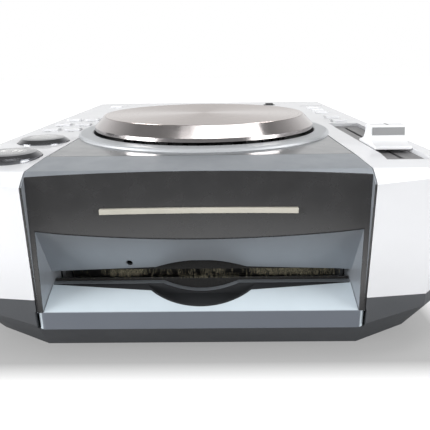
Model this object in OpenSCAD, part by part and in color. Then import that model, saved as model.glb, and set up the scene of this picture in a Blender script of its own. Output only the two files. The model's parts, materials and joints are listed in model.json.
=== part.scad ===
/* [Case] */
// Overall width of the case
body_w = 218; // [216:1:226]
// Overall depth of the case
body_d = 294; // [290:1:304]
// Height of the flat top deck above the table
deck_z = 84.2; // [83:0.2:90]
// Height of the seam between the base and the upper parts
split_z = 30; // [29:0.5:34]
// Wall thickness of the moulded case parts
wall = 2.5; // [2:0.1:3]
// Width across the dark centre section at the front edge
centre_w = 135.4; // [135:0.2:138]
// Width across the dark centre section on the deck
deck_centre_w = 131.6; // [131:0.2:134]
// Gap of the visible seams round the dark centre section
seam = 0.4; // [0.2:0.05:0.5]
// Length of the 45 degree front corners
corner_cut = 16.2; // [12:0.2:18]
// Length of the 45 degree rear corners
rear_cut = 12; // [8:0.5:14]
// How far the front facets beside the centre run back
front_rake = 3.3; // [2:0.1:5]
// Depth of the sloping logo band behind the front edge
band_d = 26.1; // [24:0.1:30]
// Height lost from the deck down to the front of the band
band_drop = 2; // [1:0.1:3]
// Height of the square front edge below the deck
edge_drop = 6.8; // [6:0.1:8]
// Width of the bevel along both sides of the top
side_bevel = 8.8; // [6:0.2:10]
// Height of the bevel along both sides of the top
side_drop = 5.6; // [4:0.2:7]

/* [Base and feet] */
// Height of the rubber feet
foot_h = 4; // [3:0.5:6]
// Radius of a foot
foot_r = 11; // [9:0.5:12]
// Distance of a foot's middle from the side of the case
foot_in = 43; // [34:1:48]
// Distance of the front feet behind the front edge
foot_front = 34; // [30:1:40]
// Distance of the rear feet in front of the rear edge
foot_rear = 30; // [24:1:36]
// Height of the front wall's bottom edge above the table
bevel_z = 18; // [16:0.5:20]
// Height of that edge at the raked corners
bevel_corner_z = 24.4; // [22:0.2:26]
// How far the underside is set in at the front
bevel_in = 9; // [7:0.5:11]
// How far the underside is set in at the sides
bevel_side = 8; // [6:0.5:10]

/* [Front and slot] */
// Depth of the concave front face at its middle
face_sag = 4; // [3:0.1:5]
// Height on the front where the slanted recess begins
recess_z = 64.2; // [60:0.2:68]
// Depth of the recess at the slot
recess_d = 14.8; // [13:0.2:17]
// Width of the recess and of the disc slot
slot_w = 130; // [128:0.2:130.4]
// Height of the slot's lower edge above the table
slot_z = 30.2; // [30:0.2:31]
// Height of the slot opening
slot_h = 6.3; // [6:0.1:7.5]
// Width of the finger arch over the slot
arch_w = 39; // [30:1:44]
// Height of the upper finger arch
arch_h = 4.1; // [3:0.1:5]
// Depth of the lower finger arch
dip_h = 3.8; // [3:0.1:4]
// Height of the shelf's front lip top above the table
lip_z = 24.2; // [23.4:0.2:25]
// Thickness of the shelf's front lip
lip_h = 7.8; // [6:0.2:8.4]
// Corner radius of the shelf lip
lip_r = 3.6; // [2:0.1:5]
// Width of the shelf's front lip
lip_w = 135.8; // [135:0.2:136.4]
// Radius of the finger scoop in the shelf
scoop_r = 31.4; // [28:0.2:34]
// Distance of the scoop's front edge behind the shelf edge
scoop_in = 3.5; // [2.5:0.1:5]
// Length of the light bar
light_w = 78; // [60:1:90]
// Height of the light bar
light_h = 2.1; // [1.6:0.1:3]
// Height of the light bar's middle above the table
light_z = 66.4; // [65:0.2:72]
// Diameter of the forced eject hole
pin_hole_d = 2.9; // [1.8:0.1:3.2]
// Sideways place of the forced eject hole
pin_hole_x = -30.4; // [-45:0.2:-25]
// Height of the forced eject hole above the table
pin_hole_z = 40.8; // [39.6:0.2:44]

/* [Jog dial] */
// Distance of the jog centre behind the front edge
jog_back = 101.8; // [100:0.2:103]
// Radius of the fixed ring
ring_r = 69.8; // [69:0.2:71]
// Height of the fixed ring above the deck
ring_h = 1.7; // [1.2:0.1:2.5]
// Radius of the dial rim
dial_r = 60.7; // [58:0.1:61]
// Radius of the flat brushed plate on the dial
plate_r = 55.2; // [50:0.1:56]
// Height of the dial's top above the deck
dial_h = 10; // [9:0.2:12]
// Thickness of the brushed plate
plate_t = 0.8; // [0.6:0.1:1.2]
// Radius of the jog shaft
jog_shaft_r = 5.97; // [5:0.01:6.5]
// Radial clearance of running fits
run_gap = 0.05; // [0.03:0.01:0.08]

/* [Buttons] */
// Radius of the play and cue buttons
round_r = 12.4; // [11:0.1:13]
// Height of the round buttons above the deck
round_h = 2.4; // [2:0.1:4]
// Distance of the round buttons' middle from the left side
round_in = 28.6; // [27:0.2:29]
// Distance of the play button behind the front edge
play_back = 27.4; // [26:0.2:29]
// Distance of the cue button behind the front edge
cue_back = 67; // [65:0.2:69]
// Width of a small button
key_w = 9.4; // [8:0.1:10]
// Depth of a small button
key_d = 6.4; // [5:0.2:8]
// Height of a small button above the deck
key_h = 1.1; // [1:0.1:2]
// Gap round every button in its hole
key_gap = 0.3; // [0.2:0.05:0.4]
// Travel of every button
key_travel = 1; // [0.6:0.1:1.2]
// Distance of the search keys behind the front edge
search_back = 108; // [106:0.5:110]
// Distance from each pair of small left keys to the next
key_pitch = 23.5; // [20:0.5:24]
// Distance of the eject key in front of the rear edge
eject_rear = 43; // [36:1:50]
// Distance from each effect key to the next
effect_pitch = 18; // [14:0.5:18]

/* [Tempo slider] */
// Distance of the slider's middle from the right side
slider_in = 23.5; // [22:0.1:24]
// Width of the slider recess
slider_w = 17.8; // [17.4:0.1:18.4]
// Length of the slider recess
slider_l = 108.8; // [104:0.2:109]
// Distance of the slider recess behind the front edge
slider_back = 17.8; // [17.6:0.1:20]
// Depth of the recess floor below the deck
slider_depth = 2; // [1.6:0.1:2.3]
// Width of the knob
knob_w = 16.4; // [14:0.1:16.6]
// Length of the knob's foot
knob_l = 24.8; // [20:0.2:26]
// Height of the knob above the deck
knob_h = 9.3; // [8:0.1:11]
// Distance of the knob from the middle of its travel at rest
knob_rest = -23.2; // [-26:0.2:-10]
// Width of the lever slot
lever_slot = 1.8; // [1.6:0.1:2.4]
// Thickness of the lever
lever_t = 1; // [0.8:0.1:1.2]

/* [Display and power] */
// Width of the display window
window_w = 92; // [80:1:96]
// Depth of the display window
window_d = 34; // [26:1:36]
// Distance of the window's middle in front of the rear edge
window_rear = 68; // [63:0.5:70]
// Sideways place of the power rocker
power_x = 53.2; // [52:0.2:60]
// Distance of the power rocker in front of the rear edge
power_rear = 37; // [33:0.5:41]
// Width of the power rocker
power_w = 6.4; // [6:0.1:10]
// Length of the power rocker
power_l = 6; // [5:0.1:8]

/* [Disc drive] */
// Distance of the spindle behind the front edge
spindle_back = 92; // [91:0.5:93]
// Width inside the loader frame
loader_w = 126.4; // [125:0.2:127]
// Height of the disc seat above the table
seat_z = 30.6; // [30.2:0.1:30.8]
// Radius of the turntable
table_r = 15; // [13:0.5:16]
// Radius of the guide rods and the lead screw
rod_r = 1.5; // [1.2:0.1:1.8]
// Sideways distance of a guide rod from the middle
rod_x = 22; // [20:0.5:24]
// Travel of the pickup from its inner to its outer track
sled_travel = 33; // [30:0.5:34]
// Radius of the loading roller at its ends
roller_r = 4.2; // [3.6:0.1:4.3]
// Module of the loading gears
gear_m = 0.8; // [0.7:0.05:0.85]
// Teeth of the loading pinion
pinion_teeth = 12; // [11:1:12]
// Teeth of the roller gear
roller_teeth = 24; // [22:1:26]
// Lift of the clamp puck above the disc path
puck_lift = 5; // [4.9:0.1:5.4]

/* [Rear connectors] */
// Height of the connectors above the table
socket_z = 46; // [44:0.5:48]
// Sideways place of the mains inlet
inlet_x = -52; // [-56:1:-46]
// Sideways place of the first output jack
jack_x = 40; // [36:1:44]
// Distance between the two output jacks
jack_pitch = 14; // [13:0.5:16]
// Sideways place of the control jack
control_x = 20; // [16:1:24]
// Outer radius of an output jack
jack_r = 4.15; // [4:0.05:4.3]
// Radius of the control jack's bore
control_r = 1.8; // [1.75:0.05:1.9]

/* [Hidden] */
$fn = 96;
eps = 0.01;

silver = "#e4e6ea";
dark = "#5a5e63";
base_grey = "#4c4f54";
shelf_grey = "#aab6bf";
black = "#1b1b1c";
steel = "#b9bcc0";
board_green = "#2f6b45";

half_w = body_w / 2;
half_d = body_d / 2;
front_y = -half_d;
rear_y = half_d;
centre_x = centre_w / 2;
deck_centre_x = deck_centre_w / 2;

edge_z = deck_z - edge_drop;
band_y = front_y + band_d;
band_z = deck_z - band_drop;
bevel_d = 7;
side_z = deck_z - side_drop;
corner_z = edge_z + 1.7;
under_z = deck_z - wall;
base_z = foot_h;
floor_z = base_z + wall;

jog_y = front_y + jog_back;
well_r = ring_r - 2.6;
ring_in_r = dial_r + 0.9;
tray_z = deck_z - 7.2;
tray_r = ring_r + 1.7;

shelf_z = lip_z - lip_h;
slot_top = slot_z + slot_h;
slot_x = slot_w / 2;
slot_y = front_y + recess_d;
slot_wall = 2.8;
fascia_x = centre_x - seam;
face_x = fascia_x - 0.4;
lip_x = lip_w / 2;
foot_x = half_w - foot_in;

board_z = deck_z - 15.8;
board_t = 1.6;
switch_h = 4;
stem_z = board_z + board_t + switch_h + key_travel + 0.2;
flange_t = 1.2;
flange_gap = 0.15;
flange_out = 1.2;
flange_in = 1.5;
hole_deep = 6;

play_y = front_y + play_back;
cue_y = front_y + cue_back;
round_x = round_in - half_w;
search_y = front_y + search_back;
track_y = search_y + key_pitch;
folder_y = track_y + key_pitch;
key_left_x = round_x - key_w;
key_right_x = round_x + 3;
eject_y = rear_y - eject_rear;

slider_x = half_w - slider_in;
slider_y0 = front_y + slider_back;
slider_y = slider_y0 + slider_l / 2;
master_y = slider_y0 + slider_l + 9.9;
range_y = master_y + 20;
effect_y = range_y + 32.5;
slider_floor = deck_z - slider_depth;
knob_y = slider_y + knob_rest;
bezel_t = 1.5;
pot_h = 11;

window_z = deck_z + 0.2;
window_y = rear_y - window_rear;
power_y = rear_y - power_rear;

drive_z = 17;
drive_t = 1.5;
side_t = 1.4;
loader_x = loader_w / 2;
spindle_y = front_y + spindle_back;
loader_y0 = spindle_y - 65;
rod_z = drive_z + drive_t + 2.6;
rod_y0 = spindle_y + 12;
sled_l = 18;
rod_y1 = rod_y0 + sled_l + sled_travel + 6;
loader_y1 = rod_y1 + 9;
sled_y = rod_y0 + 3 + sled_l / 2;
screw_x = rod_x + 9;
roller_y = spindle_y - 53;
roller_z = seat_z - roller_r;
gear_gap = gear_m * (pinion_teeth + roller_teeth) / 2;
pinion_y = roller_y + gear_gap * cos(30);
pinion_z = roller_z - gear_gap * sin(30);
gear_t = 3;
gear_x = loader_x + side_t + 1;
puck_z = seat_z + puck_lift;
arm_z = puck_z + 3;
arm_t = 1.4;
arm_pin_y = loader_y1 - 4;
motor_shaft_r = 1;

panel_y = rear_y - 7.8;
panel_t = 1.5;
panel_x = half_w - 38;
panel_h = 22;
jack_back = 12;
jack_out = 7.2;
screw_r = 1.5;
post_r = 4.5;
post_h = 24;
rib_t = 2.4;
post_x = half_w - 13;
post_front = front_y + 42;
post_rear = rear_y - 28;

// Mirrors a list of right-hand outline points to close it round the left side
function mirrored(p) = concat(p, [for (i = [len(p) - 1:-1:0]) [-p[i][0], p[i][1]]]);
function mirrored3(p) = concat(p, [for (q = p) [-q[0], q[1], q[2]]]);

// Smallest solid round a list of corner points
module solid_of(points) {
    hull() polyhedron(points = points, faces = [[for (i = [0:len(points) - 1]) i]]);
}

// Right-hand corner points of the case outline at one height, moved in by t
function outline3(t, z, zc, zs) = [
    [centre_x, front_y + t, z],
    [half_w - corner_cut, front_y + front_rake + t, zc],
    [half_w - t, front_y + front_rake + corner_cut, zs],
    [half_w - t, rear_y - rear_cut, zs],
    [half_w - rear_cut, rear_y - t, zs]
];

// Right-hand corner points of the top's edges, moved in by t
function top3(t) = [
    [centre_x, front_y + bevel_d + t, band_z - t],
    [half_w - corner_cut - 4, front_y + bevel_d + t, band_z - t],
    [half_w - side_bevel - t, front_y + front_rake + corner_cut + 4, deck_z - band_drop / 3 - t],
    [centre_x, band_y, deck_z - t],
    [half_w - side_bevel - t, band_y, deck_z - t],
    [half_w - side_bevel - t, rear_y - rear_cut - 2, deck_z - t],
    [half_w - rear_cut - 5, rear_y - side_bevel - t, deck_z - t]
];

// Places its children at the four corners of a rectangle
module corners(x, y0, y1) {
    for (sx = [-1, 1], y = [y0, y1]) translate([sx * x, y, 0]) children();
}

module post_places() {
    corners(post_x, post_front, post_rear) children();
}

// A box given by its lowest and highest corners
module block(a, b) {
    translate(a) cube(b - a);
}

// ---------------------------------------------------------------- case

module base_tray() {
    color(base_grey) difference() {
        union() {
            difference() {
                base_block(0, base_z, split_z);
                base_block(wall, floor_z, split_z + 1);
            }
            intersection() {
                post_places() translate([0, 0, base_z]) cylinder(r = post_r, h = split_z - base_z);
                base_block(0, base_z, split_z);
            }
            board_posts();
        }
        // Room for the shelf and for the front moulding above it
        block([-lip_x - seam, front_y - 1, shelf_z], [lip_x + seam, front_y + 26, lip_z + seam]);
        block([-centre_x, front_y - 1, lip_z], [centre_x, front_y + 26, split_z + 1]);
        post_places() {
            translate([0, 0, base_z - 1]) cylinder(r = 3.3, h = 4);
            cylinder(r = screw_r + 0.2, h = split_z + 1);
        }
    }
}

// Outer or inner form of the base, from its bevelled underside up to z1
module base_block(t, z0, z1) {
    low = bevel_z + (t > 0 ? wall / 2 : 0);
    high = bevel_corner_z + (t > 0 ? wall / 2 : 0);
    solid_of(concat(
        mirrored3(outline3(t, z1, z1, z1)),
        mirrored3(outline3(t, low, high, high)),
        mirrored3([
            [centre_x, front_y + bevel_in + t, z0],
            [half_w - corner_cut - t, front_y + bevel_in + 14 + t, z0],
            [half_w - bevel_side - t, front_y + bevel_in + 25 + t, z0],
            [half_w - bevel_side - t, rear_y - rear_cut - bevel_side - t, z0],
            [half_w - rear_cut - bevel_side - t, rear_y - bevel_side - t, z0]
        ])));
}

// Standoffs under the main board and cradle under the transformer
module board_posts() {
    for (x = [main_x0 + 5, main_x1 - 5], y = [main_y0 + 5, main_y1 - 5])
        translate([x, y, floor_z - eps]) cylinder(r = 3, h = main_z - floor_z + eps);
}
main_x0 = half_w - 145;
main_x1 = half_w - 21;
main_y0 = loader_y1 + 14;
main_y1 = rear_y - 20;
main_z = floor_z + 5.5;

module feet() {
    color(black) corners(foot_x, front_y + foot_front, rear_y - foot_rear) {
        cylinder(r1 = foot_r - 0.8, r2 = foot_r, h = foot_h / 2);
        translate([0, 0, foot_h / 2]) cylinder(r = foot_r, h = foot_h / 2);
    }
}

module top_shell() {
    color(silver) difference() {
        union() {
            difference() {
                shell_block(0, split_z);
                shell_block(wall, split_z - 1);
                // Opening for the dark centre section and the jog well
                translate([0, 0, split_z - 1]) linear_extrude(deck_z) polygon(mirrored([
                    [centre_x, front_y - 1], [centre_x, front_y + bevel_d],
                    [deck_centre_x, band_y], [deck_centre_x, jog_y]]));
            }
            for (s = [0, 1]) mirror([s, 0, 0]) for (y = [post_front, post_rear])
                translate([post_x, y, split_z]) {
                    cylinder(r = post_r, h = post_h);
                    block([0, -rib_t / 2, 0], [half_w - post_x - wall / 2, rib_t / 2, post_h]);
                }
            board_hangers();
        }
        translate([0, jog_y, split_z]) cylinder(r = well_r, h = deck_z);
        post_places() translate([0, 0, split_z - 1]) cylinder(r = screw_r, h = 13);
        round_hole(play_y);
        round_hole(cue_y);
        for (p = small_keys) translate([p[0], p[1], 0]) key_hole();
        block([slider_x - slider_w / 2, slider_y0, under_z - 1],
            [slider_x + slider_w / 2, slider_y0 + slider_l, deck_z + 1]);
        block([-window_w / 2 - key_gap, window_y - window_d / 2 - key_gap, under_z - 1],
            [window_w / 2 + key_gap, window_y + window_d / 2 + key_gap, deck_z + 1]);
        translate([power_x, power_y, 0]) block([-collar_x - seam / 2, -collar_y - seam / 2, under_z - 1],
            [collar_x + seam / 2, collar_y + seam / 2, deck_z + 1]);
        block([-panel_x, rear_y - wall - 1, socket_z - panel_h / 2],
            [panel_x, rear_y + 1, socket_z + panel_h / 2]);
    }
}

// Outer or inner form of the upper case
module shell_block(t, z0) {
    solid_of(concat(
        mirrored3(outline3(t, z0, z0, z0)),
        mirrored3(outline3(t, edge_z - t, corner_z - t, side_z - t)),
        mirrored3(top3(t))));
}

// Posts that carry the key boards under the top
module board_hangers() {
    for (p = hanger_places) translate([p[0], p[1], board_z + board_t])
        cylinder(r = 2.4, h = under_z - board_z - board_t + 0.5);
}
hanger_places = [[round_x - 9, (play_y + cue_y) / 2 + 3.2], [round_x + 6, (play_y + cue_y) / 2 + 3.2],
    [round_x, (track_y + folder_y) / 2],
    [round_x, eject_y - 14], [slider_x + 10, range_y + 16], [slider_x - 10, range_y + 16],
    [slider_x, effect_y + 2 * effect_pitch + 10]];

small_keys = [
    [key_left_x, track_y], [key_right_x, track_y], [key_left_x, search_y], [key_right_x, search_y],
    [key_left_x, folder_y], [key_right_x, folder_y], [round_x, eject_y],
    [slider_x, effect_y], [slider_x, effect_y + effect_pitch], [slider_x, effect_y + 2 * effect_pitch],
    [slider_x, range_y], [slider_x, master_y]];

module round_hole(y) {
    translate([round_x, y, under_z - hole_deep]) cylinder(r = round_r + key_gap, h = 15);
}

module key_hole() {
    translate([-key_w / 2 - key_gap, -key_d / 2 - key_gap, under_z - hole_deep])
        cube([key_w + 2 * key_gap, key_d + 2 * key_gap, 15]);
}

module centre_deck() {
    edge = deck_centre_x - seam;
    color(dark) difference() {
        union() {
            block([-edge, band_y, under_z], [edge, jog_y - 14, deck_z]);
            // Tongues between the round buttons that clip under the silver shell
            for (s = [-1, 1]) translate([s * deck_centre_x, 0, 0])
                block([-5, play_y + round_r + flange_out + 0.8, under_z - 2],
                    [5, cue_y - round_r - 1, under_z]);
        }
        translate([0, jog_y, 0]) cylinder(r = well_r, h = deck_z + 1);
        translate([0, jog_y, 0]) cylinder(r = tray_r + 0.3, h = under_z);
    }
}

// ---------------------------------------------------------------- front

// Depth of the concave face behind the front edge at height z
function face_back(z) = max(0, (z - 60) / 22) * 3.7;
function face_depth(z) = face_sag - max(0, (z - 60) / 22) * 1.7;
function face_y(x, z) = front_y + face_back(z) + face_depth(z) * (1 - pow(x / face_x, 2));

// Flat section of the air in front of the concave face at height z
module face_air(z, h) {
    n = 24;
    translate([0, 0, z]) linear_extrude(h) polygon(concat(
        [for (i = [-n:n]) [face_x * i / n, face_y(face_x * i / n, z)]],
        [[face_x, front_y - 9], [-face_x, front_y - 9]]));
}

// Slot outline: tapered ends with the finger arch above and below
module slot_outline() {
    rise = 2;
    a = arch_w / 2;
    b = a - 3;
    polygon(concat(
        [[-slot_x, slot_z]],
        [for (i = [-8:8]) [b * i / 8, slot_z - dip_h * (1 - pow(i / 8, 2))]],
        [[slot_x, slot_z], [slot_x, slot_top - 0.3]],
        [for (i = [8:-1:-8]) [a * i / 8, slot_top + rise + arch_h * (1 - pow(i / 8, 2)) - 0.3]],
        [[-slot_x, slot_top - 0.3]]));
}

// Extrudes a flat shape drawn in depth and height across the given half width
module across(x) {
    translate([-x, 0, 0]) rotate([90, 0, 90]) linear_extrude(2 * x) children();
}

recess_slope = (recess_z - slot_top) / recess_d;
shelf_d = 21;
lens_t = 0.4;

// The air in front of the concave face
module face_cutter() {
    hull() {
        face_air(lip_z - 1, 61 - lip_z);
        face_air(deck_z, 0.2);
    }
}

// The air under the slanted wall, out to the given half width
module recess_air(x) {
    across(x) polygon([
        [front_y - 5, recess_z + 5 * recess_slope], [slot_y, slot_top], [slot_y, 0],
        [front_y - 5, 0]]);
}

// Outer form of the front moulding with its concave face
module fascia_form() {
    difference() {
        intersection() {
            across(fascia_x) polygon([
                [front_y, lip_z], [front_y, edge_z], [front_y + bevel_d / 2, edge_z + 2.7],
                [front_y + bevel_d, band_z], [band_y, deck_z], [band_y, lip_z]]);
            linear_extrude(deck_z + 1) polygon(mirrored([
                [fascia_x, front_y], [fascia_x, front_y + bevel_d],
                [deck_centre_x - seam, band_y], [deck_centre_x - seam, band_y + 1]]));
        }
        face_cutter();
    }
}

// Front layer of the moulding that the smoked panel takes: the face and both cheeks
module lens_space() {
    difference() {
        union() {
            translate([0, lens_t, 0]) face_cutter();
            block([-centre_x, front_y - 1, lip_z + 0.3], [centre_x, front_y + lens_t, edge_z]);
        }
        recess_air(slot_x);
    }
}

module front_lens() {
    color(black) difference() {
        intersection() {
            fascia_form();
            lens_space();
        }
        light_slab(0.05, 3);
    }
}

module front_fascia() {
    color(dark) difference() {
        fascia_form();
        lens_space();
        recess_air(slot_x);
        // Hollow behind the face and behind the slanted wall
        across(slot_x) polygon([
            [front_y + 8.7, band_z - wall], [front_y + 8.7, recess_z - (8.7 - 2.83) * recess_slope],
            [slot_y + slot_wall, slot_top], [slot_y + slot_wall, 0], [band_y + 1, 0],
            [band_y + 1, under_z]]);
        translate([0, slot_y + slot_wall + 1, 0]) rotate([90, 0, 0])
            linear_extrude(slot_wall + 4) slot_outline();
        translate([pin_hole_x, 0, pin_hole_z]) rotate([90, 0, 0])
            cylinder(d = pin_hole_d, h = body_d, center = true);
        light_slab(0.05, 3);
    }
}

// Curved slab that follows the face behind the light bar
module light_slab(grow, back) {
    n = 12;
    w = light_w / 2 + grow;
    translate([0, 0, light_z - light_h / 2 - grow]) linear_extrude(light_h + 2 * grow)
        polygon(concat(
            [for (i = [-n:n]) [w * i / n, face_y(w * i / n, light_z) - (grow > 0 ? 2 : 0.35)]],
            [for (i = [n:-1:-n]) [w * i / n, face_y(w * i / n, light_z) + back]]));
}

module light_bar() {
    color("#d9d6c8") intersection() {
        light_slab(0, 2.2);
        block([-half_w, front_y - 1, 0], [half_w, front_y + 8.6, deck_z]);
    }
}

ramp_rise = slot_z - lip_z;
ramp_y = slot_y - 0.2;
scoop_y = front_y + scoop_in + scoop_r;
scoop_floor = lip_z + 1.5;

// Wedge of the shelf between the cheeks
module ramp() {
    across(slot_x - 0.2) polygon([[front_y + 0.4, lip_z - eps], [front_y + 0.4, lip_z + 0.15],
        [ramp_y, slot_z], [ramp_y, lip_z - eps]]);
}

// Plan of the dark inlay at the slot, with the scoop
module inlay_plan(grow) {
    polygon([[-slot_x + 0.6, ramp_y + 1], [-slot_x + 0.6, ramp_y - 0.3],
        [-scoop_r * 0.64, ramp_y - 3.8 - grow], [scoop_r * 0.64, ramp_y - 3.8 - grow],
        [slot_x - 0.6, ramp_y - 0.3], [slot_x - 0.6, ramp_y + 1]]);
    translate([0, scoop_y]) circle(r = scoop_r + 0.8 + grow);
}

// Plan of the shelf lip with its round front corners
module lip_plan() {
    translate([-lip_x, front_y + lip_r]) square([lip_w, shelf_d - lip_r]);
    translate([-lip_x + lip_r, front_y]) square([lip_w - 2 * lip_r, shelf_d]);
    for (s = [-1, 1]) translate([s * (lip_x - lip_r), front_y + lip_r]) circle(r = lip_r);
}

module loading_shelf() {
    color(shelf_grey) difference() {
        union() {
            translate([0, 0, shelf_z]) linear_extrude(lip_h) lip_plan();
            ramp();
        }
        translate([0, 0, lip_z]) linear_extrude(ramp_rise + 1) inlay_plan(0.05);
    }
}

module slot_escutcheon() {
    color("#3c4046") union() {
        difference() {
            intersection() {
                translate([0, 0, lip_z]) linear_extrude(ramp_rise + 1) inlay_plan(0);
                ramp();
            }
            translate([0, scoop_y, scoop_floor]) cylinder(r = scoop_r, h = 20);
        }
        // Upstand under the slot's lower arch
        difference() {
            block([-slot_x * 0.37, ramp_y - 0.6, lip_z], [slot_x * 0.37, ramp_y, slot_z]);
            translate([0, slot_y + 1, 0]) rotate([90, 0, 0]) linear_extrude(4) slot_outline();
        }
    }
}

felt_y = slot_y + slot_wall;
felt_t = 1;
felt_show = 0.95;

module slot_felts() {
    x = slot_x - 0.6;
    color(black) {
        block([-x, felt_y, slot_top - felt_show], [x, felt_y + felt_t, slot_top + 9]);
        block([-x, felt_y, lip_z], [x, felt_y + felt_t, slot_z + felt_show]);
    }
}

// ---------------------------------------------------------------- jog dial

module at_jog() {
    translate([0, jog_y, 0]) children();
}

module jog_ring() {
    top = deck_z + ring_h;
    color("#9a9ea2") at_jog() rotate_extrude($fn = 180) polygon([
        [ring_in_r, tray_z + 2.6], [ring_in_r, top - 0.4], [ring_in_r + 0.5, top],
        [ring_r - 1.4, top - 0.2], [ring_r - 0.3, top - 0.8], [ring_r, deck_z],
        [well_r - 0.1, deck_z], [well_r - 0.1, tray_z + 2.6]]);
}

module jog_tray() {
    color(black) at_jog() difference() {
        rotate_extrude($fn = 180) polygon([
            [bush_r, tray_z - 5], [bush_r + 3, tray_z - 5], [bush_r + 3, tray_z],
            [tray_r, tray_z], [tray_r, under_z], [tray_r - 3, under_z],
            [tray_r - 3, tray_z + 2], [bush_r, tray_z + 2]]);
    }
}
bush_r = 9;

module jog_bush() {
    color("#b08d4f") at_jog() translate([0, 0, tray_z - 5]) difference() {
        cylinder(r = bush_r, h = 12);
        translate([0, 0, -1]) cylinder(r = jog_shaft_r + run_gap, h = 14);
    }
}

dial_top = deck_z + dial_h;
dial_low = deck_z + 2.5;

module jog_dial() {
    color("#7b7c80") at_jog() rotate_extrude($fn = 240) polygon([
        [0, tray_z - 7], [jog_shaft_r, tray_z - 7], [jog_shaft_r, dial_low + 1],
        [jog_shaft_r + 5, dial_top - plate_t - 2.4], [plate_r - 3, dial_top - plate_t - 2.4],
        [dial_r - 2.6, dial_low], [dial_r - 0.5, dial_low], [dial_r, dial_low + 0.4],
        [dial_r, dial_low + 2.1], [plate_r + 0.35, dial_top - 0.1], [plate_r + 0.05, dial_top - 0.1],
        [plate_r + 0.05, dial_top - plate_t], [0, dial_top - plate_t]]);
}

module jog_plate() {
    color("#c2bbb4") at_jog() translate([0, 0, dial_top - plate_t])
        cylinder(r = plate_r, h = plate_t, $fn = 240);
}

encoder_r = 46;
encoder_slots = 36;

module encoder_ring() {
    color(black) at_jog() difference() {
        translate([0, 0, tray_z + 3]) cylinder(r = encoder_r, h = dial_top - plate_t - 2.4 - tray_z - 3);
        translate([0, 0, tray_z + 2]) cylinder(r = encoder_r - 1, h = dial_h + 8);
        for (i = [0:encoder_slots - 1]) rotate(i * 360 / encoder_slots)
            translate([encoder_r - 2, -1.2, tray_z + 2]) cube([3, 2.4, 5]);
    }
}

module encoder_sensor() {
    color(black) at_jog() rotate(-60) difference() {
        block([encoder_r - 5, -4, tray_z + 2], [encoder_r + 4, 4, tray_z + 9]);
        block([encoder_r - 1.8, -5, tray_z + 2.6], [encoder_r + 0.8, 5, tray_z + 10]);
    }
}

// ---------------------------------------------------------------- buttons

module round_button(y) {
    top = deck_z + round_h;
    flange_z = under_z - flange_gap;
    translate([round_x, y, 0]) {
        rotate_extrude() polygon([
            [0, stem_z], [3, stem_z], [3, flange_z - flange_t], [round_r, flange_z - flange_t],
            [round_r, deck_z + 0.4], [round_r - 0.8, deck_z + 1.1], [round_r - 2.1, top - 0.35],
            [round_r * 0.66, top - 0.1], [round_r * 0.33, top], [0, top]]);
        // The flange leaves out the front half, where the case slopes down
        intersection() {
            translate([0, 0, flange_z - flange_t]) cylinder(r = round_r + flange_out, h = flange_t);
            block([-body_w, -0.5, 0], [body_w, body_w, deck_z]);
        }
    }
}

module small_button(x, y) {
    top = deck_z + key_h;
    flange_z = under_z - flange_gap;
    translate([x, y, 0]) {
        block([-key_w / 2, -key_d / 2, flange_z - eps], [key_w / 2, key_d / 2, top - 0.4]);
        block([-key_w / 2 + 0.4, -key_d / 2 + 0.4, top - 0.4 - eps],
            [key_w / 2 - 0.4, key_d / 2 - 0.4, top]);
        block([-key_w / 2 + flange_in, -key_d / 2 - flange_out, flange_z - flange_t],
            [key_w / 2 - flange_in, key_d / 2 + flange_out, flange_z]);
        translate([0, 0, stem_z]) cylinder(r = 1.6, h = flange_z - stem_z - flange_t / 2);
    }
}

module play_button() { color("#8f9194") round_button(play_y); }
module cue_button() { color("#8f9194") round_button(cue_y); }
module track_back_button() { color(silver) small_button(key_left_x, track_y); }
module track_forward_button() { color(silver) small_button(key_right_x, track_y); }
module search_back_button() { color(silver) small_button(key_left_x, search_y); }
module search_forward_button() { color(silver) small_button(key_right_x, search_y); }
module folder_back_button() { color(silver) small_button(key_left_x, folder_y); }
module folder_forward_button() { color(silver) small_button(key_right_x, folder_y); }
module eject_button() { color(silver) small_button(round_x, eject_y); }
module effect_button(i) { color(silver) small_button(slider_x, effect_y + i * effect_pitch); }
module tempo_range_button() { color(silver) small_button(slider_x, range_y); }
module master_tempo_button() { color(silver) small_button(slider_x, master_y); }

// ---------------------------------------------------------------- tempo slider

slot_run = (slider_l - knob_l) / 2;

module slider_bezel() {
    w = slider_w / 2;
    color("#a6a8aa") difference() {
        union() {
            block([slider_x - w + 0.1, slider_y0 + 0.1, under_z - bezel_t],
                [slider_x + w - 0.1, slider_y0 + slider_l - 0.1, slider_floor]);
            block([slider_x - w - 1.2, band_y + 1, under_z - bezel_t],
                [slider_x + w + 1.2, slider_y0 + slider_l + 1, under_z]);
        }
        block([slider_x - lever_slot / 2, slider_y - slot_run - 5, 0],
            [slider_x + lever_slot / 2, slider_y + slot_run + 5, deck_z]);
    }
}

module slide_pot() {
    top = under_z - bezel_t;
    color(steel) difference() {
        block([slider_x - 4.5, slider_y - slot_run - 9, top - pot_h],
            [slider_x + 4.5, slider_y + slot_run + 9, top]);
        block([slider_x - 2, slider_y - slot_run - 6, top - pot_h + 1.2],
            [slider_x + 2, slider_y + slot_run + 6, top + 1]);
    }
}

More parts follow.
